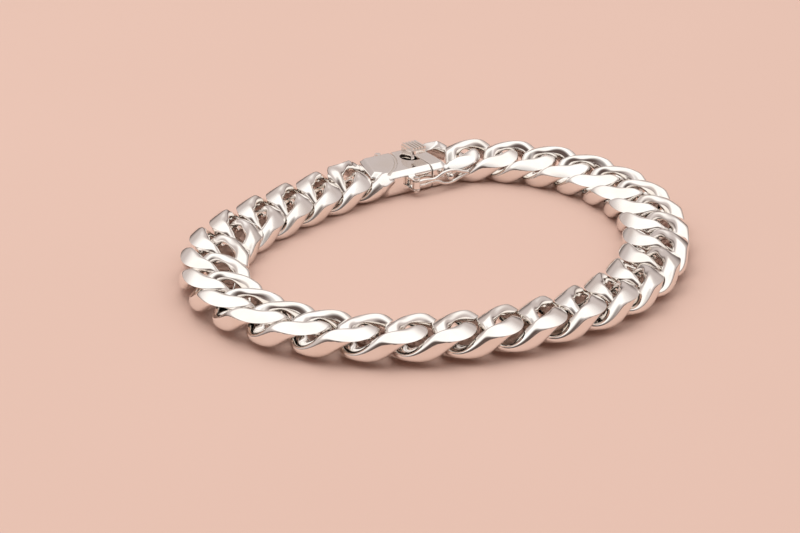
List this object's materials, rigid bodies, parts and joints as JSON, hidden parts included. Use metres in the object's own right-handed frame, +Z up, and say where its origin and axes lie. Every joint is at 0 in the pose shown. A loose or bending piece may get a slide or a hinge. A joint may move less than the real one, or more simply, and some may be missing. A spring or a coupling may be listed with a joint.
{
  "type": "cuban link bracelet",
  "caption": "Closed curb chain bracelet lying flat, with thick interlocked oval links, a box clasp with a ribbed thumb tab and a wire safety latch on each side.",
  "frame": {"origin": "on the surface under the middle of the whole loop, at the centre of its bounding box's base", "axes": "+Z up, away from the surface; -Y towards the front of the loop and +Y towards the back, where the clasp is; +X to the right, along the loop's longest side"},
  "size_m": [0.0752, 0.0744, 0.0059],
  "materials": {
    "silver_links": "polished silver",
    "silver_clasp": "polished silver with fine wear"
  },
  "bodies": {
    "bracelet": {"link_01": "silver_links", "link_02": "silver_links", "link_03": "silver_links", "link_04": "silver_links", "link_05": "silver_links", "link_06": "silver_links", "link_07": "silver_links", "link_08": "silver_links", "link_09": "silver_links", "link_10": "silver_links", "link_11": "silver_links", "link_12": "silver_links", "link_13": "silver_links", "link_14": "silver_links", "link_15": "silver_links", "link_16": "silver_links", "link_17": "silver_links", "link_18": "silver_links", "link_19": "silver_links", "link_20": "silver_links", "link_21": "silver_links", "link_22": "silver_links", "link_23": "silver_links", "link_24": "silver_links", "link_25": "silver_links", "link_26": "silver_links", "link_27": "silver_links", "link_28": "silver_links", "clasp_box": "silver_clasp", "clasp_tongue": "silver_clasp", "latch_pin_inner": "silver_clasp", "latch_pin_outer": "silver_clasp"},
    "thumb_tab": {"thumb_tab": "silver_clasp"},
    "latch_inner": {"latch_inner": "silver_clasp"},
    "latch_outer": {"latch_outer": "silver_clasp"}
  },
  "joints": [
    {"name": "latch_inner_swing", "type": "hinge", "parent": "bracelet", "child": "latch_inner", "pos_m": [-0.00312, 0.02159, 0.00205], "axis": [0, 0, -1], "range_deg": [0, 100]},
    {"name": "latch_outer_swing", "type": "hinge", "parent": "bracelet", "child": "latch_outer", "pos_m": [-0.00938, 0.03183, 0.00205], "axis": [0, 0, 1], "range_deg": [0, 100]},
    {"name": "thumb_tab_press", "type": "hinge", "parent": "bracelet", "child": "thumb_tab", "pos_m": [-0.00903, 0.02501, 0.00225], "axis": [-0.5217, 0.8531, 0], "range_deg": [0, 6]}
  ]
}
